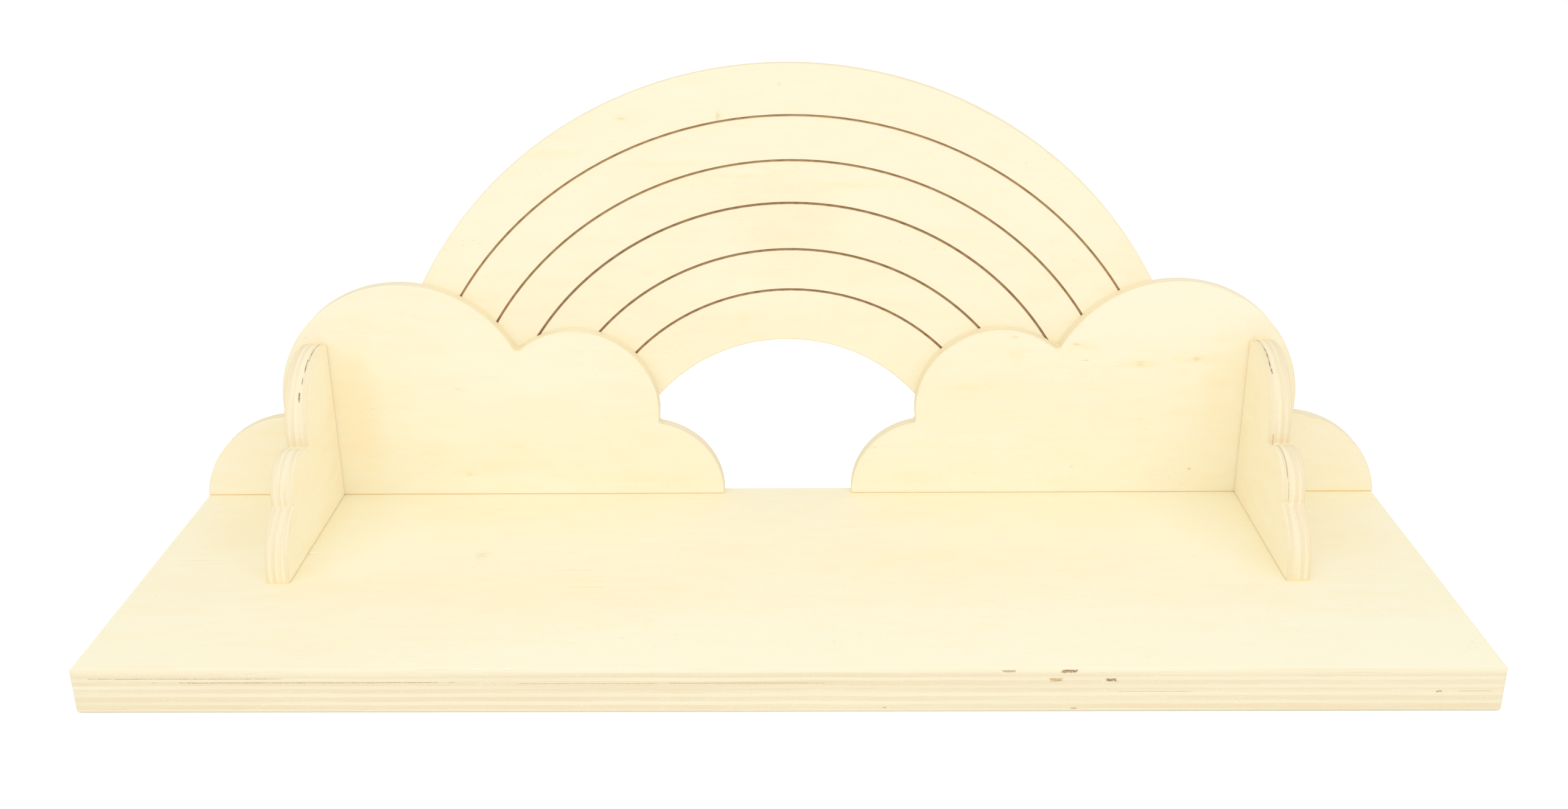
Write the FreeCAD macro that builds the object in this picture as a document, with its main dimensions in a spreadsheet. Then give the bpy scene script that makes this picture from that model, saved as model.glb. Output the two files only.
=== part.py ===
"""Rainbow and clouds shelf: six pieces of plywood, glued.

A base board carries two cloud panels along its back edge, a rainbow panel
behind the clouds with its legs down the back of the board, and two half-cloud
brackets in front of the clouds. Millimetres, +Z up, +X along the board, -Y to
the front. The origin is the middle of the whole footprint, on the underside.
"""
import FreeCAD, Part
import math
import os
import Sketcher
from collections import namedtuple
from enum import IntEnum
from FreeCAD import Placement, Rotation, Vector

SIZES = {
    # base board
    "base_length": 500.0,
    "base_depth": 150.0,
    "base_thickness": 17.5,
    "base_arris": 1.0,
    # cloud panels: places are measured in from the board's end and up from its top
    "cloud_thickness": 6.0,
    "cloud_width": 222.8,
    "outer_notch_in": 37.8,
    "outer_notch_up": 36.1,
    "peak_notch_in": 137.4,
    "peak_notch_up": 64.4,
    "inner_notch_in": 195.7,
    "inner_notch_up": 32.5,
    "outer_lobe_bulge": 9.4,
    "tall_lobe_bulge": 43.6,
    "short_lobe_bulge": 23.8,
    "inner_lobe_bulge": 8.1,
    "cloud_notch_round": 1.5,
    "cloud_arris": 0.4,
    # rainbow panel: heights are measured up from the board's top
    "rainbow_thickness": 4.0,
    "window_radius": 71.3,
    "window_centre_drop": 3.3,
    "arch_centre_up": 11.5,
    "first_band": 21.8,
    "second_band": 17.2,
    "third_band": 19.4,
    "fourth_band": 17.5,
    "fifth_band": 18.1,
    "outer_band": 20.5,
    "groove_width": 1.0,
    "groove_depth": 0.8,
    "engraving_aside": 1.5,
    "leg_lift": 1.0,
    "rainbow_arris": 0.4,
    # brackets: places are measured forward from the clouds and up from the board's top
    "bracket_thickness": 9.0,
    "bracket_inset": 50.0,
    "bracket_height": 69.0,
    "bracket_reach": 80.5,
    "upper_notch_out": 37.6,
    "upper_notch_up": 36.4,
    "lower_notch_out": 64.2,
    "lower_notch_up": 24.6,
    "upper_lobe_bulge": 14.8,
    "middle_lobe_bulge": 10.6,
    "lower_lobe_bulge": 5.0,
    "bracket_notch_round": 1.0,
    "bracket_arris": 0.5,
}

# from the window out to the arch's rim, with a groove between each and the next
BANDS = ["first_band", "second_band", "third_band", "fourth_band", "fifth_band", "outer_band"]

# A corner of an outline: how far along and how far up it lies, and the bulge of the
# edge that follows. None is a place on the sketch's own axis, or a straight edge.
Corner = namedtuple("Corner", "along up bulge")
CLOUD_OUTLINE = [
    Corner(None, None, "outer_lobe_bulge"),
    Corner("outer_notch_in", "outer_notch_up", "tall_lobe_bulge"),
    Corner("peak_notch_in", "peak_notch_up", "short_lobe_bulge"),
    Corner("inner_notch_in", "inner_notch_up", "inner_lobe_bulge"),
    Corner("cloud_width", None, None),
]
BRACKET_OUTLINE = [
    Corner(None, "bracket_height", "upper_lobe_bulge"),
    Corner("upper_notch_out", "upper_notch_up", "middle_lobe_bulge"),
    Corner("lower_notch_out", "lower_notch_up", "lower_lobe_bulge"),
    Corner("bracket_reach", None, None),
    Corner(None, None, None),
]


class Point(IntEnum):
    """How Sketcher numbers the points of an element."""

    START = 1
    END = 2
    CENTRE = 3


class Axis(IntEnum):
    """How Sketcher numbers a sketch's own axes."""

    ACROSS = -1
    UP = -2


ORIGIN = (Axis.ACROSS, Point.START)
NORMAL = Vector(0, 0, 1)
NEAR = 0.001

# where the pieces stand, as expressions on the sheet
BOARD_BACK = "(Sizes.base_depth - Sizes.rainbow_thickness) / 2"
CLOUD_FRONT = f"{BOARD_BACK} - Sizes.cloud_thickness"
BOARD_END = "Sizes.base_length / 2"
BOARD_TOP = "Sizes.base_thickness"
WINDOW_TOP = "Sizes.window_radius - Sizes.window_centre_drop"
LEG_LENGTH = "Sizes.base_thickness - Sizes.leg_lift"

doc = FreeCAD.newDocument("RainbowCloudShelf")
sheet = doc.addObject("Spreadsheet::Sheet", "Sizes")
for row, (name, value) in enumerate(SIZES.items(), start=1):
    sheet.set(f"A{row}", name)
    sheet.set(f"B{row}", str(value))
    sheet.setAlias(f"B{row}", name)
doc.recompute()


def value_of(expression):
    """The number that an expression on the sheet has now."""
    return float(sheet.evalExpression(expression))


def new_body(label):
    """A body whose label is the sub-part's node name."""
    body = doc.addObject("PartDesign::Body", label)
    body.Label = label
    return body


def new_sketch(body, role):
    """A sketch on one of the body's own origin planes."""
    sketch = body.newObject("Sketcher::SketchObject", f"{body.Label}_sketch")
    plane = next(p for p in body.Origin.OriginFeatures if p.Role == role)
    sketch.AttachmentSupport = [(plane, "")]
    sketch.MapMode = "FlatFace"
    return sketch


def dimension(sketch, kind, places, expression):
    """One driving dimension of a sketch, bound to the sheet."""
    numbers = [number for place in places for number in place]
    index = sketch.addConstraint(Sketcher.Constraint(kind, *numbers, value_of(expression)))
    sketch.setExpression(f"Constraints[{index}]", expression)


def join(sketch, kind, first, second):
    """Two points made one, plainly or with their elements tangent."""
    sketch.addConstraint(Sketcher.Constraint(kind, *first, *second))


def extrude(body, sketch, thickness, reverse=False):
    """The plate that a sketched outline makes."""
    pad = body.newObject("PartDesign::Pad", f"{body.Label}_plate")
    pad.Profile = sketch
    pad.setExpression("Length", thickness)
    pad.Reversed = reverse
    sketch.Visibility = False
    doc.recompute()
    return pad


def place(body, x=None, y=None, z=None):
    """Stand a body where the sheet says."""
    for axis, expression in (("x", x), ("y", y), ("z", z)):
        if expression is not None:
            body.setExpression(f"Placement.Base.{axis}", expression)


def cell(name):
    """The expression that reads a named cell, or a place on the axis."""
    return "0" if name is None else f"Sizes.{name}"


def corner_point(corner, side):
    """Where a corner of an outline lies in its sketch; side is 1 to run along +, or -1."""
    return Vector(side * value_of(cell(corner.along)), value_of(cell(corner.up)), 0)


def lobe(first, last, bulge, side):
    """The arc that swells outward by its bulge between two corners."""
    chord = last - first
    outward = Vector(-side * chord.y, side * chord.x, 0).normalize()
    radius = chord.Length ** 2 / (8 * bulge) + bulge / 2
    centre = (first + last) / 2 + outward * (bulge - radius)
    turned = (last, first) if side > 0 else (first, last)
    angles = [math.atan2(point.y - centre.y, point.x - centre.x) for point in turned]
    return Part.ArcOfCircle(Part.Circle(centre, NORMAL, radius), *angles)


def lobe_radius(corner, following):
    """The same arc's radius, as an expression on the sheet."""
    along = f"({cell(following.along)} - {cell(corner.along)})"
    up = f"({cell(following.up)} - {cell(corner.up)})"
    bulge = cell(corner.bulge)
    return f"({along} * {along} + {up} * {up}) / (8 * {bulge}) + {bulge} / 2"


def edge_ends(corner, side):
    """Which point of a corner's edge is at the corner and which is at the next one."""
    return (Point.END, Point.START) if corner.bulge and side > 0 else (Point.START, Point.END)


def pin(sketch, point, corner, side):
    """Hold a point at a corner's place from the sketch's origin."""
    if corner.along is None:
        sketch.addConstraint(Sketcher.Constraint("PointOnObject", *point, Axis.UP))
    else:
        places = [ORIGIN, point] if side > 0 else [point, ORIGIN]
        dimension(sketch, "DistanceX", places, cell(corner.along))
    if corner.up is None:
        sketch.addConstraint(Sketcher.Constraint("PointOnObject", *point, Axis.ACROSS))
    else:
        dimension(sketch, "DistanceY", [ORIGIN, point], cell(corner.up))


def lobed_outline(sketch, outline, side):
    """A closed outline of lobes and straight edges."""
    followers = outline[1:] + outline[:1]
    for corner, following in zip(outline, followers):
        first, last = (corner_point(point, side) for point in (corner, following))
        if corner.bulge is None:
            sketch.addGeometry(Part.LineSegment(first, last))
        else:
            sketch.addGeometry(lobe(first, last, value_of(cell(corner.bulge)), side))
    for number, (corner, following) in enumerate(zip(outline, followers)):
        point = (number, edge_ends(corner, side)[0])
        before = (number - 1) % len(outline)
        join(sketch, "Coincident", (before, edge_ends(outline[before], side)[1]), point)
        pin(sketch, point, corner, side)
        if corner.bulge is not None:
            dimension(sketch, "Radius", [(number,)], lobe_radius(corner, following))


def arch_rim(sketch, radius, centre_up):
    """A half circle with a straight leg down from each end; gives the number of its arc."""
    rise = value_of(centre_up)
    reach = value_of(radius)
    foot = -value_of(LEG_LENGTH)
    circle = Part.Circle(Vector(0, rise, 0), NORMAL, reach)
    arc = sketch.addGeometry(Part.ArcOfCircle(circle, 0, math.pi))
    dimension(sketch, "Radius", [(arc,)], radius)
    sketch.addConstraint(Sketcher.Constraint("PointOnObject", arc, Point.CENTRE, Axis.UP))
    if rise == 0:
        sketch.addConstraint(Sketcher.Constraint("PointOnObject", arc, Point.CENTRE, Axis.ACROSS))
    else:
        dimension(sketch, "DistanceY", [ORIGIN, (arc, Point.CENTRE)], centre_up)
    for side, end in ((1, Point.START), (-1, Point.END)):
        top = Vector(side * reach, rise, 0)
        leg = sketch.addGeometry(Part.LineSegment(top, Vector(side * reach, foot, 0)))
        join(sketch, "Tangent", (arc, end), (leg, Point.START))
        sketch.addConstraint(Sketcher.Constraint("Vertical", leg))
        dimension(sketch, "DistanceY", [(leg, Point.END), ORIGIN], LEG_LENGTH)
    return arc


def arch_outline(sketch, outer, inner):
    """The closed outline between two rims, each a radius and the height of its centre."""
    rims = [arch_rim(sketch, *outer), arch_rim(sketch, *inner)]
    for leg in (1, 2):
        ends = [(rim + leg, Point.END) for rim in rims]
        points = [sketch.getPoint(*end) for end in ends]
        foot = sketch.addGeometry(Part.LineSegment(*points))
        join(sketch, "Coincident", (foot, Point.START), ends[0])
        join(sketch, "Coincident", (foot, Point.END), ends[1])


def dress_edges(body, feature, kind, chosen, size):
    """A Fillet or a Chamfer on the edges for which the test holds."""
    names = [f"Edge{number}" for number, edge in enumerate(feature.Shape.Edges, start=1) if chosen(edge)]
    dressing = body.newObject(f"PartDesign::{kind}", f"{body.Label}_{kind.lower()}")
    dressing.Base = (feature, names)
    dressing.setExpression("Radius" if kind == "Fillet" else "Size", size)
    doc.recompute()
    return dressing


def soften_notches(body, plate, outline, side, plane, radius):
    """Round the inward corners where one lobe meets the next."""
    lobed = [corner for before, corner in zip(outline, outline[1:]) if before.bulge and corner.bulge]
    notches = [corner_point(corner, side) for corner in lobed]

    def at_notch(edge):
        flat = [Vector(*(getattr(vertex.Point, axis) for axis in plane), 0) for vertex in edge.Vertexes]
        return any(all(point.distanceToPoint(notch) < NEAR for point in flat) for notch in notches)

    return dress_edges(body, plate, "Fillet", at_notch, radius)


def ease_arrises(body, feature, thickness_axis, size):
    """Take the sharpness off the edges of both faces of a panel all round."""

    def in_a_face(edge):
        depths = [getattr(point, thickness_axis) for point in edge.discretize(Number=3)]
        return max(depths) - min(depths) < NEAR

    return dress_edges(body, feature, "Chamfer", in_a_face, size)


def base_board():
    """The board that the rest stands on, with its arrises sanded."""
    body = new_body("base_board")
    sketch = new_sketch(body, "XY_Plane")
    half_length = value_of("Sizes.base_length / 2")
    half_depth = value_of("Sizes.base_depth / 2")
    turns = ((-1, -1), (1, -1), (1, 1), (-1, 1))
    corners = [Vector(x * half_length, y * half_depth, 0) for x, y in turns]
    for first, last in zip(corners, corners[1:] + corners[:1]):
        sketch.addGeometry(Part.LineSegment(first, last))
    for number in range(len(corners)):
        join(sketch, "Coincident", (number, Point.END), ((number + 1) % len(corners), Point.START))
        kind = "Vertical" if number % 2 else "Horizontal"
        sketch.addConstraint(Sketcher.Constraint(kind, number))
    sketch.addConstraint(Sketcher.Constraint("Symmetric", 0, Point.START, 1, Point.END, *ORIGIN))
    dimension(sketch, "DistanceX", [(0, Point.START), (0, Point.END)], "Sizes.base_length")
    dimension(sketch, "DistanceY", [(1, Point.START), (1, Point.END)], "Sizes.base_depth")
    plate = extrude(body, sketch, "Sizes.base_thickness")
    dress_edges(body, plate, "Fillet", bool, "Sizes.base_arris")
    place(body, y="-Sizes.rainbow_thickness / 2")
    return body


def cloud(label, side):
    """A cloud panel, flush with the board's end and back; the right one is turned round."""
    body = new_body(label)
    sketch = new_sketch(body, "XZ_Plane")
    lobed_outline(sketch, CLOUD_OUTLINE, 1)
    plate = extrude(body, sketch, "Sizes.cloud_thickness")
    notched = soften_notches(body, plate, CLOUD_OUTLINE, 1, "xz", "Sizes.cloud_notch_round")
    ease_arrises(body, notched, "y", "Sizes.cloud_arris")
    if side > 0:
        body.Placement = Placement(Vector(), Rotation(NORMAL, 180))
        place(body, BOARD_END, CLOUD_FRONT, BOARD_TOP)
    else:
        place(body, f"-{BOARD_END}", BOARD_BACK, BOARD_TOP)
    return body


def rainbow():
    """The arch behind the clouds, with an engraved line between each band and the next."""
    body = new_body("rainbow_panel")
    sketch = new_sketch(body, "XZ_Plane")
    arch_top = " + ".join([WINDOW_TOP] + [cell(band) for band in BANDS])
    outer = (f"{arch_top} - Sizes.arch_centre_up", "Sizes.arch_centre_up")
    window = ("Sizes.window_radius", "-Sizes.window_centre_drop")
    arch_outline(sketch, outer, window)
    plate = extrude(body, sketch, "Sizes.rainbow_thickness", reverse=True)
    last = ease_arrises(body, plate, "y", "Sizes.rainbow_arris")
    radius = WINDOW_TOP
    for band in BANDS[:-1]:
        radius = f"{radius} + {cell(band)}"
        line = new_sketch(body, "XZ_Plane")
        line.setExpression("AttachmentOffset.Base.x", "Sizes.engraving_aside")
        edges = (f"{radius} + Sizes.groove_width / 2", f"{radius} - Sizes.groove_width / 2")
        arch_outline(line, *[(edge, "0") for edge in edges])
        groove = body.newObject("PartDesign::Pocket", f"{band}_groove")
        groove.Profile = line
        groove.setExpression("Length", "Sizes.groove_depth")
        line.Visibility = False
        doc.recompute()
        if not groove.Shape.Volume < last.Shape.Volume:
            raise RuntimeError(f"{groove.Name} cuts nothing")
        last = groove
    place(body, y=BOARD_BACK, z=BOARD_TOP)
    return body


def bracket(label, side):
    """A half-cloud bracket, standing on the board against a cloud's front."""
    body = new_body(label)
    sketch = new_sketch(body, "YZ_Plane")
    lobed_outline(sketch, BRACKET_OUTLINE, -1)
    plate = extrude(body, sketch, "Sizes.bracket_thickness")
    notched = soften_notches(body, plate, BRACKET_OUTLINE, -1, "yz", "Sizes.bracket_notch_round")
    ease_arrises(body, notched, "x", "Sizes.bracket_arris")
    outer_face = f"{BOARD_END} - Sizes.bracket_inset"
    left_face = f"{outer_face} - Sizes.bracket_thickness" if side > 0 else f"-({outer_face})"
    place(body, left_face, CLOUD_FRONT, BOARD_TOP)
    return body


pieces = [
    base_board(),
    cloud("left_cloud", -1),
    cloud("right_cloud", 1),
    rainbow(),
    bracket("left_bracket", -1),
    bracket("right_bracket", 1),
]
doc.recompute()

for item in doc.Objects:
    if "Invalid" in item.State or "Error" in item.State:
        raise RuntimeError(f"{item.Name} failed: {item.State}")
for piece in pieces:
    shape = piece.Shape
    if shape.isNull() or not shape.isValid() or len(shape.Solids) != 1:
        raise RuntimeError(f"{piece.Label} is not one valid solid")

os.makedirs("parts", exist_ok=True)
for piece in pieces:
    piece.Shape.exportStep(f"parts/{piece.Label}.step")
    box = piece.Shape.BoundBox
    corner = (round(box.XMin, 2), round(box.YMin, 2), round(box.ZMin, 2))
    opposite = (round(box.XMax, 2), round(box.YMax, 2), round(box.ZMax, 2))
    print(piece.Label, corner, opposite, "volume", round(piece.Shape.Volume))
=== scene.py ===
"""A display shelf with a rainbow and two clouds for its back, of six birch plywood panels glued together."""

import math
import random

import bmesh
import bpy
from mathutils import Matrix, Vector


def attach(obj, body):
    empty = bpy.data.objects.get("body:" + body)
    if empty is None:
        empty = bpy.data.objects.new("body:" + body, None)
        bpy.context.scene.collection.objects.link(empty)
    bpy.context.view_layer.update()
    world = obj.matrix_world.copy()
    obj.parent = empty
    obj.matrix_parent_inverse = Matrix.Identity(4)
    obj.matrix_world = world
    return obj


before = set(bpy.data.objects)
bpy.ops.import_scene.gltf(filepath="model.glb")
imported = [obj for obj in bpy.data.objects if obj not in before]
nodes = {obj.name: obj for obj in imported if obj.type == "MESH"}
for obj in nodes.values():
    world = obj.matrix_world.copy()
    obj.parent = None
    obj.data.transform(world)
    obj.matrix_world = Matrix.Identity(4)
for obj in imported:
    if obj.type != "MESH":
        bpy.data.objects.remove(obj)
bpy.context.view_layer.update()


# ---- base board ----------------------------------------------------------------------------------
# A thick board of eleven birch plies, sawn square and lightly sanded, with bare unvarnished faces.
# The face grain runs along the board. The brackets and the clouds are glued on top of it, and the
# rainbow against its back edge.

class Wire:
    """A node's output used in sums: each operator on it adds a Math node."""

    def __init__(self, tree, socket=None):
        self.tree = tree
        self.socket = socket

    def node(self, kind, settings=None, sockets=None, output=0):
        """Add a node: its settings come first, then the values or links of its sockets."""
        node = self.tree.nodes.new("ShaderNode" + kind)
        for name, value in (settings or {}).items():
            if name == "stops":
                lay_stops(node.color_ramp, value)
            else:
                setattr(node, name, value)
        for name, value in (sockets or {}).items():
            if isinstance(value, Wire):
                self.tree.links.new(value.socket, node.inputs[name])
            else:
                node.inputs[name].default_value = value
        return Wire(self.tree, node.outputs[output]) if node.outputs else None

    def beside(self, output):
        """Another output of the same node."""
        return Wire(self.tree, self.socket.node.outputs[output])

    def math(self, operation, *values):
        return self.node("Math", {"operation": operation}, dict(enumerate(values)))

    def __add__(self, other):
        return self.math("ADD", self, other)

    def __sub__(self, other):
        return self.math("SUBTRACT", self, other)

    def __rsub__(self, other):
        return self.math("SUBTRACT", other, self)

    def __mul__(self, other):
        return self.math("MULTIPLY", self, other)

    def __truediv__(self, other):
        return self.math("DIVIDE", self, other)

    def __abs__(self):
        return self.math("ABSOLUTE", self)

    __radd__ = __add__
    __rmul__ = __mul__


def lay_stops(ramp, stops):
    """Give a colour ramp its stops, as (place, colour) in order."""
    while len(ramp.elements) < len(stops):
        ramp.elements.new(0.5)
    for element, (place, colour) in zip(ramp.elements, stops):
        element.position = place
        element.color = colour


def shade(red, green, blue):
    """A colour named by its 0 to 255 screen values, as the linear values that shaders take."""
    linear = [((value / 255 + 0.055) / 1.055) ** 2.4 for value in (red, green, blue)]
    return (*linear, 1)


def fade(value, start, end, low=0.0, high=1.0):
    """A smooth change from low to high while the value goes from start to end."""
    sockets = {"Value": value, "From Min": start, "From Max": end, "To Min": low, "To Max": high}
    return value.node("MapRange", {"interpolation_type": "SMOOTHSTEP"}, sockets)


def tinted(amount, colour, other):
    """One colour turning into the other by an amount from 0 to 1."""
    return amount.node("Mix", {"data_type": "RGBA"}, {0: amount, 6: colour, 7: other}, output=2)


def point(x, y, z):
    """Three values as one vector."""
    wire = next(value for value in (x, y, z) if isinstance(value, Wire))
    return wire.node("CombineXYZ", None, {0: x, 1: y, 2: z})


def mottle(where, detail=2.0, roughness=0.5):
    """Soft noise from 0 to 1 with one lump per unit of the vector: grain * 9 has nine to the metre."""
    sockets = {"Vector": where, "Scale": 1.0, "Detail": detail, "Roughness": roughness}
    return where.node("TexNoise", None, sockets)


MM = 0.001

FLECK_BROWN = shade(226, 198, 152)
LONG_GRAIN = shade(249, 240, 210)
END_GRAIN = shade(241, 224, 188)
EDGE_STREAK = shade(229, 208, 168)
TORN_FIBRE = shade(252, 246, 224)
GLUE_LINE = shade(222, 197, 154)
GAP_DARK = shade(152, 122, 88)
GAP_SOFT = shade(206, 178, 134)
GAP_LIGHT = shade(226, 204, 162)
# the joint line's tan: partly glue, partly painted warm shade in the crevice
JOINT_GLUE_AND_SHADE = shade(255, 224, 170)


def face_veneer(grain, across, seed):
    """The peeled birch face: broad pale and warm patches, growth figure, fine fibres and a few flecks."""
    patches = fade(mottle(point(grain * 9, across * 26, seed), 3.0), 0.36, 0.66)
    contour = mottle(point(grain * 2.6, across * 9, seed + 3.1), 1.0) * 26
    figure = fade(abs(contour.math("FRACT", contour) - 0.5), 0.05, 0.5)
    fibres = mottle(point(grain * 130, across * 1900, seed + 7.7), 3.0, 0.6)
    streaks = fade(mottle(point(grain * 16, across * 340, seed + 5.3), 2.0), 0.45, 0.75)
    clumps = fade(mottle(point(grain * 55, across * 190, seed + 1.3), 4.0, 0.7), 0.4, 0.66)
    warmth = patches * 0.24 + clumps * 0.32 + figure * 0.06 + fibres * 0.42 + streaks * 0.13 - 0.13
    pore = mottle(point(grain * 420, across * 2600, seed + 9.9), 0.0)
    patchy = fade(mottle(point(grain * 30, across * 60, seed + 2.2), 1.0), 0.5, 0.75)
    return warmth, fade(pore, 0.72, 0.84) * patchy * 0.5, fibres


def spread(grain, across, spot, raggedness, edge, blunt=False):
    """1 inside a ragged oval or blunt block, whose place and half sizes are in mm, and 0 outside."""
    centre, height, length, width = spot
    aside = abs(grain - centre * MM) / (length * MM)
    rise = abs(across - height * MM) / (width * MM)
    if blunt:
        distance = aside.math("MAXIMUM", aside, rise)
    else:
        reach = point(aside, rise, 0)
        distance = reach.node("VectorMath", {"operation": "LENGTH"}, {0: reach}, output="Value")
    wander = mottle(point(grain * 250, across * 900, centre), 3.0, 0.6) - 0.5
    return fade(distance + wander * raggedness, 1.0, edge)


PLY_WAVER = 0.8 * MM


def ply_edge(spot, run, depth, end_on, thickness, tones, seed):
    """Sawn plies: each has its own tone, and shows as long or end grain by turns, with glue lines between.

    run grows along the edge. end_on holds how squarely the edge cuts the grain of the face's own plies
    and of the crossed ones.
    """
    x, y, z = split(spot)
    plies = len(tones)
    waver = mottle(point(x * 22, y * 22, z * 22), 1.0)
    layer = (depth + (waver - 0.5) * PLY_WAVER) * (plies / thickness)
    layer = layer.math("MAXIMUM", layer, 0.0)
    layer = layer.math("MINIMUM", layer, plies - 0.001)
    number = layer.math("FLOOR", layer)
    crossed = number.math("MODULO", number, 2.0)
    cut = crossed * end_on[1] + (1 - crossed) * end_on[0]
    stops = [(place / plies, (tone, tone, tone, 1)) for place, tone in enumerate(tones)]
    tone = layer.node("ValToRGB", {"stops": stops}, {0: layer / plies})
    tone = tone.node("RGBToBW", None, {0: tone})
    within = layer.math("FRACT", layer)
    drift = mottle(point(x * 9, y * 9, z * 9 + number * 3.7 + seed), 2.0) - 0.5
    colour = tinted(fade(tone * 0.75 + cut * 0.3 + drift * 1.1, 0.05, 1.0), LONG_GRAIN, END_GRAIN)
    # the fibres follow the ply, so they are long along the edge and thin across it
    thin = mottle(point(run * 60, layer * 3.4, number * 5.3 + seed), 3.0, 0.65)
    colour = tinted(fade(thin, 0.5, 0.82) * (0.2 + cut * 0.2), colour, EDGE_STREAK)
    # where the saw cut across the fibres their ends are torn into pale ticks and brown crumbs
    ticks = mottle(point(run * 950, layer * 1.7, number + seed), 2.0, 0.7)
    torn = fade(mottle(point(run * 70, number, seed), 1.0), 0.4, 0.65)
    colour = tinted(fade(ticks, 0.52, 0.7) * torn * cut * 0.6, colour, TORN_FIBRE)
    crumbs = mottle(point(x * 1700, y * 1700, z * 1700), 1.0)
    colour = tinted(fade(crumbs, 0.5, 0.8) * cut * 0.3, colour, EDGE_STREAK)
    seam = fade(abs(within - 0.5), 0.43, 0.5)
    faint = fade(mottle(point(x * 90, y * 90, number + z * 90), 2.0), 0.42, 0.7)
    colour = tinted(seam * faint * 0.6, colour, GLUE_LINE)
    height = thin * 0.5 + (crumbs + ticks) * cut * 0.5 - seam * 0.3
    return colour, height


def split(vector):
    """The three values of a vector."""
    x = vector.node("SeparateXYZ", None, {0: vector})
    return x, x.beside(1), x.beside(2)


def new_finish(name):
    """A material with an empty node tree, and a wire to build it from."""
    material = bpy.data.materials.new(name)
    material.use_nodes = True
    material.node_tree.nodes.clear()
    return material, Wire(material.node_tree)


RELIEF_STRENGTH = 0.35
BARE_WOOD_SHINE = 0.3


def complete(start, colour, roughness, height, relief):
    """The surface shader with its colour, roughness and fine relief."""
    bump = start.node("Bump", None, {"Height": height, "Strength": RELIEF_STRENGTH, "Distance": relief})
    sockets = {"Base Color": colour, "Roughness": roughness, "Normal": bump}
    sockets["Specular IOR Level"] = BARE_WOOD_SHINE
    wood = start.node("BsdfPrincipled", None, sockets)
    start.node("OutputMaterial", None, {"Surface": wood})


SAWN_ROUGHNESS = 0.8
SANDED_ROUGHNESS = 0.68
FIBRE_RELIEF = 0.12 * MM
ARRIS_TILT = (0.8, 0.9)
GLUE_AND_SHADE_WIDTH = 0.7 * MM
GLUE_AND_SHADE_CORE = 0.1 * MM
GLUE_AND_SHADE_STRENGTH = 0.9
PATCH_RAGGEDNESS = 0.5
MARK_RAGGEDNESS = 2.4
MARK_EDGE = -0.3
GAP_RAGGEDNESS = 1.3
GAP_EDGE = 0.7


def plywood(
    name, lay, front, thickness, tones, veneer, seed, patches=(), marks=(), gaps=(), joints=(), engrave=None
):
    """Birch plywood: lay gives the axis along the face grain, across it and through the panel.

    front is where the show face lies along that last axis. tones are the plies from that face inwards,
    and veneer holds the pale and the warm colour of the face. The arrises take the colour of the edge.
    patches are (warmth, softness, oval), marks are (colour, strength, ovals), gaps are (axis they run
    along, colour, blocks) and joints are (axis, place). An oval or block is its place along the grain
    and across it, then its half length and half width, all in mm; a block's depth is from the front.
    """
    material, start = new_finish(name)
    spot = start.node("TexCoord", output="Object")
    normal = start.node("NewGeometry", output="True Normal")
    axes = dict(zip("xyz", split(spot)))
    faces = dict(zip("xyz", split(normal)))
    grain, across, through = (axes[axis] for axis in lay)
    tilts = [abs(faces[axis]) for axis in lay]
    depth = abs(through - front)

    # the face veneer; the broad patches, of paler or warmer wood and some of painted light and shade, and
    # the marks are on its show side
    show_side = fade(depth, thickness * 0.6, thickness * 0.4)
    warmth, flecks, fibres = face_veneer(grain, across, seed)
    for amount, edge, spot_size in patches:
        warmth = warmth + spread(grain, across, spot_size, PATCH_RAGGEDNESS, edge) * show_side * amount
    colour = tinted(warmth, *veneer)
    colour = tinted(flecks, colour, FLECK_BROWN)
    for tint, strength, spots in marks:
        for spot_size in spots:
            mark = spread(grain, across, spot_size, MARK_RAGGEDNESS, MARK_EDGE)
            colour = tinted(mark * show_side * strength, colour, tint)

    # the sawn edge, with the gaps that open where a core ply falls short
    edge, height = ply_edge(spot, grain + across, depth, tilts, thickness, tones, seed)
    for run, darkness, spots in gaps:
        for spot_size in spots:
            hollow = spread(axes[run], depth, spot_size, GAP_RAGGEDNESS, GAP_EDGE, blunt=True)
            torn = fade(mottle(point(axes[run] * 1400, depth * 900, 0), 2.0), 0.4, 0.65)
            edge = tinted(hollow, edge, tinted(torn, darkness, GAP_LIGHT))
            height = height - hollow * 3
    on_face = fade(tilts[2], *ARRIS_TILT)
    colour = tinted(on_face, edge, colour)
    if engrave:
        colour = engrave(colour, axes, depth)

    # a warm tan line where the panel meets its neighbours: partly glue, partly painted shade that warms the
    # crevice's shadow
    for axis, place in joints:
        close = fade(abs(axes[axis] - place), GLUE_AND_SHADE_WIDTH, GLUE_AND_SHADE_CORE)
        colour = tinted(close * GLUE_AND_SHADE_STRENGTH, colour, JOINT_GLUE_AND_SHADE)
    height = height + on_face * (fibres - height)
    roughness = SAWN_ROUGHNESS - on_face * (SAWN_ROUGHNESS - SANDED_ROUGHNESS)
    complete(start, colour, roughness, height, FIBRE_RELIEF)
    return material


def dress(node, material):
    """Give a panel its finish in every slot of its mesh."""
    panel = nodes[node]
    panel.data.materials.clear()
    panel.data.materials.append(material)


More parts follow.
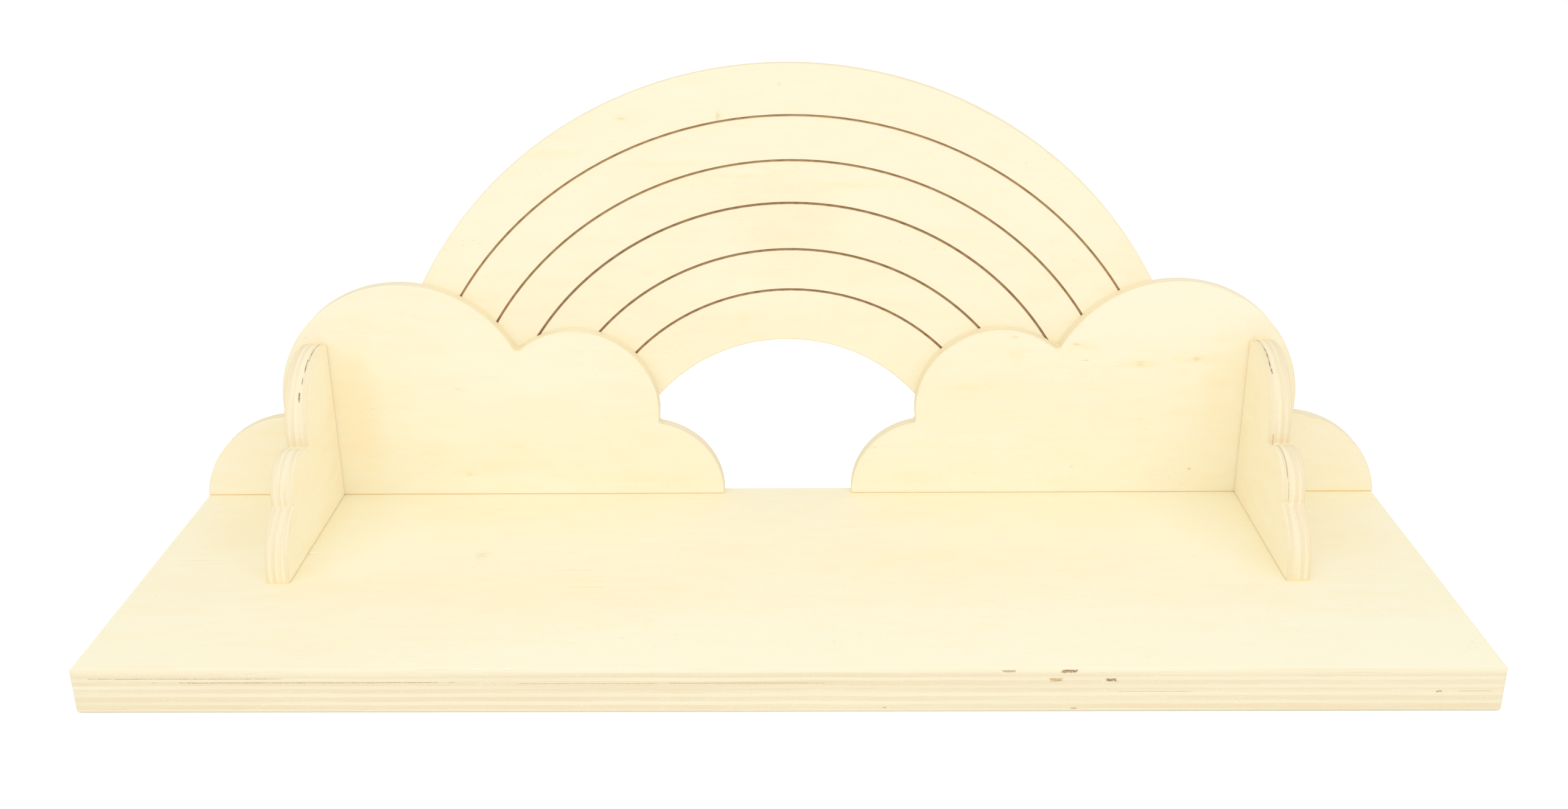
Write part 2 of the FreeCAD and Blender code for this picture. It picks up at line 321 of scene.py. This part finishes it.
BASE_THICKNESS = 17.5 * MM
BASE_VENEER = shade(251, 244, 217), shade(251, 239, 203)
BASE_TONES = [0.67, 0.07, 0.67, 0.6, 0.6, 0.6, 0.13, 0.53, 0.47, 0.47, 0.53]
SMUDGE = shade(238, 222, 192)
SCRATCH = shade(236, 222, 192)
CHIP = shade(252, 250, 240)
base_patches = [
    (-0.4, 0.85, (120, -95, 310, 68)),
    (0.35, 0.2, (-110, -22, 140, 24)),
    (0.25, 0.0, (60, 5, 110, 22)),
    (0.3, 0.3, (215, -38, 60, 7)),
    # painted light: paler just inside each bracket, lifting the shade the brackets and clouds cast there;
    # painted shade: warmer and darker just outside each bracket
    (-0.9, 0.1, (-166, 24, 26, 44)),
    (-0.7, 0.1, (166, 24, 26, 44)),
    (0.35, 0.2, (-226, 28, 24, 40)),
    (0.25, 0.2, (226, 28, 24, 40)),
]
base_marks = [
    (SMUDGE, 0.7, [(-121, 10, 4.2, 5.0)]),
    (SCRATCH, 0.6, [(-232, 6, 9, 0.6), (-224, 3, 7, 0.5), (-83, -3, 10, 0.8), (-76, -17, 12, 0.7)]),
    (CHIP, 1.0, [(-107, -76.4, 2.6, 0.7), (-96, -76.4, 1.8, 0.6)]),
]
base_gaps = [
    ("x", GAP_DARK, [(99, 1.2, 3.2, 0.65), (113.5, 4.6, 2.2, 0.7), (227.4, 9.4, 1.1, 0.4)]),
    ("x", GAP_SOFT, [(78, 1.1, 2.6, 0.45), (94.5, 4.6, 2.3, 0.7)]),
    ("x", GAP_SOFT, [(101, 16.0, 1.2, 0.3), (35, 15.6, 0.8, 0.3)]),
    ("x", GAP_SOFT, [(-212, 3.6, 36, 0.16), (-165, 5.2, 52, 0.2)]),
    ("x", GAP_SOFT, [(-70, 5.7, 30, 0.12), (-15, 5.6, 32, 0.15)]),
    ("x", GAP_LIGHT, [(128, 9.3, 14, 0.12), (240, 9.3, 6, 0.12)]),
]
base_finish = plywood(
    "birch_base_board", "xyz", BASE_THICKNESS, BASE_THICKNESS, BASE_TONES, BASE_VENEER, 1.0,
    base_patches, base_marks, base_gaps,
)
dress("base_board", base_finish)

# a crumb of dried glue beside the foot of the left bracket, pressed into the veneer
CRUMB_PLACE = (-188.6 * MM, 11.9 * MM)
CRUMB_SIZE = (5.6 * MM, 1.5 * MM, 0.5 * MM)
CRUMB_SINK = 0.12 * MM
CRUMB_TURN = -6
CRUMB_BEND = 0.18
CRUMB_LUMPS = 0.05
CRUMB_GRAIN = 900
CRUMB_ROUGHNESS = 0.45
CRUMB_RELIEF = 0.1 * MM
CRUMB_WHITE = shade(255, 252, 238)
CRUMB_CREAM = shade(250, 243, 216)
random.seed(7)
crumb_form = bmesh.new()
bmesh.ops.create_icosphere(crumb_form, subdivisions=3, radius=0.5)
for corner in crumb_form.verts:
    taper = 1 - 0.5 * abs(corner.co.x)
    corner.co.y = corner.co.y * taper + CRUMB_BEND * math.sin(corner.co.x * 5)
    corner.co *= 1 + random.uniform(-CRUMB_LUMPS, CRUMB_LUMPS)
    corner.co *= Vector(CRUMB_SIZE)
crumb_mesh = bpy.data.meshes.new("glue_crumb")
crumb_form.to_mesh(crumb_mesh)
crumb_form.free()
crumb_mesh.shade_smooth()
crumb = bpy.data.objects.new("glue_crumb", crumb_mesh)
crumb.location = (*CRUMB_PLACE, BASE_THICKNESS + CRUMB_SIZE[2] / 2 - CRUMB_SINK)
crumb.rotation_euler.z = math.radians(CRUMB_TURN)
bpy.context.scene.collection.objects.link(crumb)
crumb_finish, start = new_finish("dried_glue")
crumb_spot = start.node("TexCoord", output="Object")
cloudy = mottle(point(*(place * CRUMB_GRAIN for place in split(crumb_spot))), 2.0)
crumb_colour = tinted(fade(cloudy, 0.35, 0.7), CRUMB_WHITE, CRUMB_CREAM)
complete(start, crumb_colour, CRUMB_ROUGHNESS, cloudy, CRUMB_RELIEF)
crumb_mesh.materials.append(crumb_finish)
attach(crumb, "root")


# ---- clouds --------------------------------------------------------------------------------------
# Two four-lobed clouds cut from thinner five-ply birch, mirror images of each other. Each stands on
# the base board, flush with its back edge and its end, glued there and to the rainbow behind it.

CLOUD_FRONT = 67 * MM
CLOUD_THICKNESS = 6 * MM
CLOUD_VENEER = shade(249, 243, 219), shade(250, 237, 204)
CLOUD_TONES = [0.3, 0.6, 0.2, 0.6, 0.3]
KNOT_BROWN = shade(233, 207, 156)
KNOT_HALO = shade(246, 234, 190)
SPECK = shade(176, 148, 108)
on_board = ("z", BASE_THICKNESS)
left_patches = [
    # painted shade: a warmer, darker strip on the cloud beside the left bracket, where the bracket shades it
    (0.8, 0.0, (-181, 58, 14, 50)),
    (-0.35, 0.0, (-95, 75, 60, 26)),
    (0.15, 0.1, (-50, 31, 36, 21)),
    (0.35, 0.2, (-135, 34, 58, 12)),
]
left_marks = [
    (KNOT_HALO, 0.7, [(-137, 66, 3.5, 1.6), (-115, 40, 5, 1.4), (-137, 28, 6, 3), (-150, 37, 9, 2.4)]),
    (KNOT_BROWN, 0.5, [(-136, 27, 2.4, 1.2), (-137.6, 66, 1.8, 0.8)]),
    (SPECK, 0.3, [(-199.4, 89.3, 0.9, 0.6)]),
]
right_patches = [
    # painted shade: the same warmer, darker strip beside the right bracket, weaker
    (0.3, 0.0, (181, 58, 14, 50)),
    (-0.4, 0.5, (155, 104, 66, 18)),
    (0.3, 0.0, (80, 66, 46, 9)),
]
right_marks = [
    (KNOT_HALO, 0.7, [(124, 84, 12, 2.6), (146, 76, 14, 2.8), (171, 78, 15, 3)]),
    (KNOT_HALO, 0.7, [(95, 80, 6, 5), (76, 66, 20, 1.4)]),
    (KNOT_BROWN, 0.5, [(119.5, 85, 2.4, 1.6), (147, 76, 2.6, 1.8), (170, 78, 2, 2), (94, 88, 3, 0.9)]),
    (KNOT_BROWN, 0.6, [(121, 29.7, 1.4, 0.9), (37, 39, 2.4, 1.4), (21, 21, 5, 1.2)]),
    (SPECK, 0.8, [(124.2, 77.7, 2.0, 0.5), (170.8, 28.3, 1.4, 0.8)]),
]
for cloud, seed, patches, marks in (
    ("left_cloud", 4.0, left_patches, left_marks),
    ("right_cloud", 8.0, right_patches, right_marks),
):
    finish = plywood(
        "birch_" + cloud, "xzy", CLOUD_FRONT, CLOUD_THICKNESS, CLOUD_TONES, CLOUD_VENEER, seed,
        patches, marks, joints=[on_board],
    )
    dress(cloud, finish)


# ---- rainbow -------------------------------------------------------------------------------------
# A thin three-ply arch with five engraved lines that part its six bands. The lines are burnt brown.
# It is glued to the back of the clouds and of the base board, down which its two legs run.

RAINBOW_FRONT = 73 * MM
RAINBOW_THICKNESS = 4 * MM
RAINBOW_VENEER = shade(249, 242, 215), shade(250, 236, 203)
RAINBOW_TONES = [0.3, 0.6, 0.3]
GROOVE_CENTRE = 17.5 * MM
GROOVE_ASIDE = 1.5 * MM
GROOVE_REACH = 1.0 * MM
BURN_EDGE = (0.56 * MM, 0.47 * MM)
BURN_FADE = 0.3 * MM
OUTER_SLIMNESS = 0.85
GROOVE_RADII = [89.8 * MM, 107.0 * MM, 126.4 * MM, 143.9 * MM, 162.0 * MM]
BURNT = shade(188, 152, 109)
BURNT_DARK = shade(168, 131, 85)


def burn_lines(colour, axes, depth):
    """The burnt engraving at the bottom of the five grooves."""
    rise = axes["z"] - GROOVE_CENTRE
    rise = rise.math("MAXIMUM", rise, 0.0)
    reach = point(axes["x"] - GROOVE_ASIDE, rise, 0)
    radius = reach.node("VectorMath", {"operation": "LENGTH"}, {0: reach}, output="Value")
    nearest = abs(radius - GROOVE_RADII[0])
    for groove in GROOVE_RADII[1:]:
        nearest = nearest.math("MINIMUM", nearest, abs(radius - groove))
    char = fade(mottle(point(axes["x"] * 260, axes["z"] * 260, 0), 2.0), 0.35, 0.7)
    # the outer lines are a little slimmer than the inner ones
    slimness = fade(radius, GROOVE_RADII[2], GROOVE_RADII[4], 1.0, OUTER_SLIMNESS)
    in_front = fade(depth, GROOVE_REACH + BURN_FADE, GROOVE_REACH)
    inside = fade(nearest / slimness, *BURN_EDGE) * in_front
    return tinted(inside, colour, tinted(char, BURNT, BURNT_DARK))


rainbow_patches = [
    (-0.3, 0.2, (0, 104, 60, 12)),
    (-0.1, 0.3, (0, 190, 140, 13)),
    (-0.3, 0.0, (115, 150, 50, 34)),
    (-0.25, 0.0, (-115, 140, 46, 38)),
    (0.5, 0.2, (2, 136, 30, 32)),
]
rainbow_marks = [
    (KNOT_HALO, 0.6, [(-65, 178.6, 6, 2.0), (-18, 94, 5, 4.5), (-50, 160, 30, 2.2), (-20, 155, 40, 1.8)]),
    (KNOT_HALO, 0.6, [(-26, 180, 3, 4.5), (28, 151, 34, 2.2), (-92, 165, 20, 2.0)]),
    (KNOT_BROWN, 0.6, [(-64.9, 178.6, 2.0, 1.0), (-1.8, 191.9, 1.4, 1.0)]),
    (SPECK, 0.3, [(-26.6, 179.4, 1.3, 2.6)]),
]
rainbow_finish = plywood(
    "birch_rainbow", "xzy", RAINBOW_FRONT, RAINBOW_THICKNESS, RAINBOW_TONES, RAINBOW_VENEER, 12.0,
    rainbow_patches, rainbow_marks, engrave=burn_lines,
)
dress("rainbow_panel", rainbow_finish)


# ---- brackets ------------------------------------------------------------------------------------
# Two seven-ply brackets with a wavy front edge of three lobes. Each is glued upright to the base
# board and to the front of its cloud. A few gaps in the core show along the sawn edge.

BRACKET_INNER = 191 * MM
BRACKET_THICKNESS = 9 * MM
# painted light: the left bracket's veneer is a paler copy of the right one's, where the left bracket shows
# more light
LEFT_VENEER = shade(254, 247, 222), shade(254, 239, 206)
RIGHT_VENEER = shade(252, 245, 220), shade(252, 237, 204)
LEFT_TONES = [0.55, 0.65, 0.3, 0.2, 0.75, 0.35, 0.55]
RIGHT_TONES = [0.7, 0.85, 0.5, 0.4, 0.95, 0.55, 0.75]
# painted light and shade: the left bracket's inner face is paler, most near its top, and the right one's
# warmer and darker near its top, for how light falls on them
left_patches = [(-0.1, 0.2, (26, 50, 50, 44)), (-0.6, 0.2, (46, 72, 24, 20))]
right_patches = [(0.2, 0.2, (46, 70, 20, 18))]
left_gaps = [
    ("z", GAP_DARK, [(76, 3.0, 1.8, 0.4), (87.2, 1.6, 1.2, 0.22)]),
    ("z", GAP_DARK, [(85, 2.1, 1.8, 0.24), (81, 2.4, 1.2, 0.18)]),
]
right_gaps = [
    ("z", GAP_DARK, [(86, 2.0, 2.2, 0.28), (82.8, 2.2, 0.8, 0.32)]),
    ("z", GAP_SOFT, [(56, 2.1, 4.6, 0.24), (47, 2.4, 4, 0.14)]),
]
against_cloud = ("y", CLOUD_FRONT)
for bracket, inner, tones, veneer, seed, patches, gaps in (
    ("left_bracket", -BRACKET_INNER, LEFT_TONES, LEFT_VENEER, 16.0, left_patches, left_gaps),
    ("right_bracket", BRACKET_INNER, RIGHT_TONES, RIGHT_VENEER, 20.0, right_patches, right_gaps),
):
    finish = plywood(
        "birch_" + bracket, "yzx", inner, BRACKET_THICKNESS, tones, veneer, seed,
        patches, gaps=gaps, joints=[on_board, against_cloud],
    )
    dress(bracket, finish)


# ---- studio --------------------------------------------------------------------------------------
# A white table and a white room with one wide soft lamp in front and a weaker one at each side.

WHITE = (1, 1, 1, 1)
ROOM_COLOUR = (0.975, 0.99, 1.0, 1)
ROOM_LIGHT = 0.85
TABLE_SIZE = 3.0
TABLE_DROP = 0.2 * MM
TABLE_GREY = (0.86, 0.86, 0.86, 1)
TABLE_GLOW = 0.35


def seen_directly(start):
    """1 where a surface is seen by eye, in a gloss or through glass, and 0 where it only gives light."""
    eye = start.node("LightPath", output="Is Camera Ray")
    total = eye + eye.beside("Is Glossy Ray") + eye.beside("Is Transmission Ray")
    return total.math("MINIMUM", total, 1.0)


world = bpy.data.worlds.new("white_room")
world.use_nodes = True
world.node_tree.nodes.clear()
room = Wire(world.node_tree)
light_of_room = room.node("Background", None, {"Color": ROOM_COLOUR, "Strength": ROOM_LIGHT})
sight_of_room = room.node("Background", None, {"Color": WHITE, "Strength": 1.0})
whole_room = room.node("MixShader", None, {0: seen_directly(room), 1: light_of_room, 2: sight_of_room})
room.node("OutputWorld", None, {"Surface": whole_room})
bpy.context.scene.world = world

table_mesh = bpy.data.meshes.new("white_table")
half = TABLE_SIZE / 2
corners = [(-half, -half, 0), (half, -half, 0), (half, half, 0), (-half, half, 0)]
table_mesh.from_pydata(corners, [], [(0, 1, 2, 3)])
table = bpy.data.objects.new("white_table", table_mesh)
table.location.z = -TABLE_DROP
bpy.context.scene.collection.objects.link(table)
table_finish, start = new_finish("white_table")
matt = start.node("BsdfDiffuse", None, {"Color": TABLE_GREY})
glow = start.node("Emission", None, {"Color": WHITE, "Strength": TABLE_GLOW})
lit = start.node("AddShader", None, {0: matt, 1: glow})
seen = start.node("MixShader", None, {0: seen_directly(start), 1: matt, 2: lit})
start.node("OutputMaterial", None, {"Surface": seen})
table_mesh.materials.append(table_finish)

LAMP_AIM = Vector((0, 0, 0.07))
LAMP_COLOUR = (1.0, 0.985, 0.955)
LAMP_SIZE = 0.9
FRONT_DISTANCE = 0.95
SIDE_DISTANCE = 1.1
FRONT_WATTS = 2.8
SIDE_WATTS = 2.5


def lamp(name, place, size, watts):
    """A square soft lamp that points at the shelf."""
    light = bpy.data.lights.new(name, "AREA")
    light.size = size
    light.energy = watts
    light.color = LAMP_COLOUR
    holder = bpy.data.objects.new(name, light)
    holder.location = place
    holder.rotation_euler = (LAMP_AIM - Vector(place)).to_track_quat("-Z", "Y").to_euler()
    bpy.context.scene.collection.objects.link(holder)


lamp("front_lamp", (0, -FRONT_DISTANCE, FRONT_DISTANCE), LAMP_SIZE, FRONT_WATTS)
lamp("left_lamp", (-SIDE_DISTANCE, -SIDE_DISTANCE, SIDE_DISTANCE), LAMP_SIZE, SIDE_WATTS)
lamp("right_lamp", (SIDE_DISTANCE, -SIDE_DISTANCE, SIDE_DISTANCE), LAMP_SIZE, SIDE_WATTS)

CAMERA_PLACE = (7.9 * MM, -562.1 * MM, 311.0 * MM)
CAMERA_LENS = 37.04
CAMERA_SENSOR = 36
CAMERA_TILT = 68.14
CAMERA_TURN = 0.833
CAMERA_ROLL = -0.552
camera = bpy.data.cameras.new("camera")
camera.lens = CAMERA_LENS
camera.sensor_width = CAMERA_SENSOR
eye = bpy.data.objects.new("camera", camera)
aim = Matrix.Rotation(math.radians(CAMERA_TURN), 4, "Z")
aim = aim @ Matrix.Rotation(math.radians(CAMERA_TILT), 4, "X")
aim = aim @ Matrix.Rotation(math.radians(CAMERA_ROLL), 4, "Z")
eye.matrix_world = Matrix.Translation(CAMERA_PLACE) @ aim
bpy.context.scene.collection.objects.link(eye)
bpy.context.scene.camera = eye
bpy.context.scene.view_settings.view_transform = "Standard"
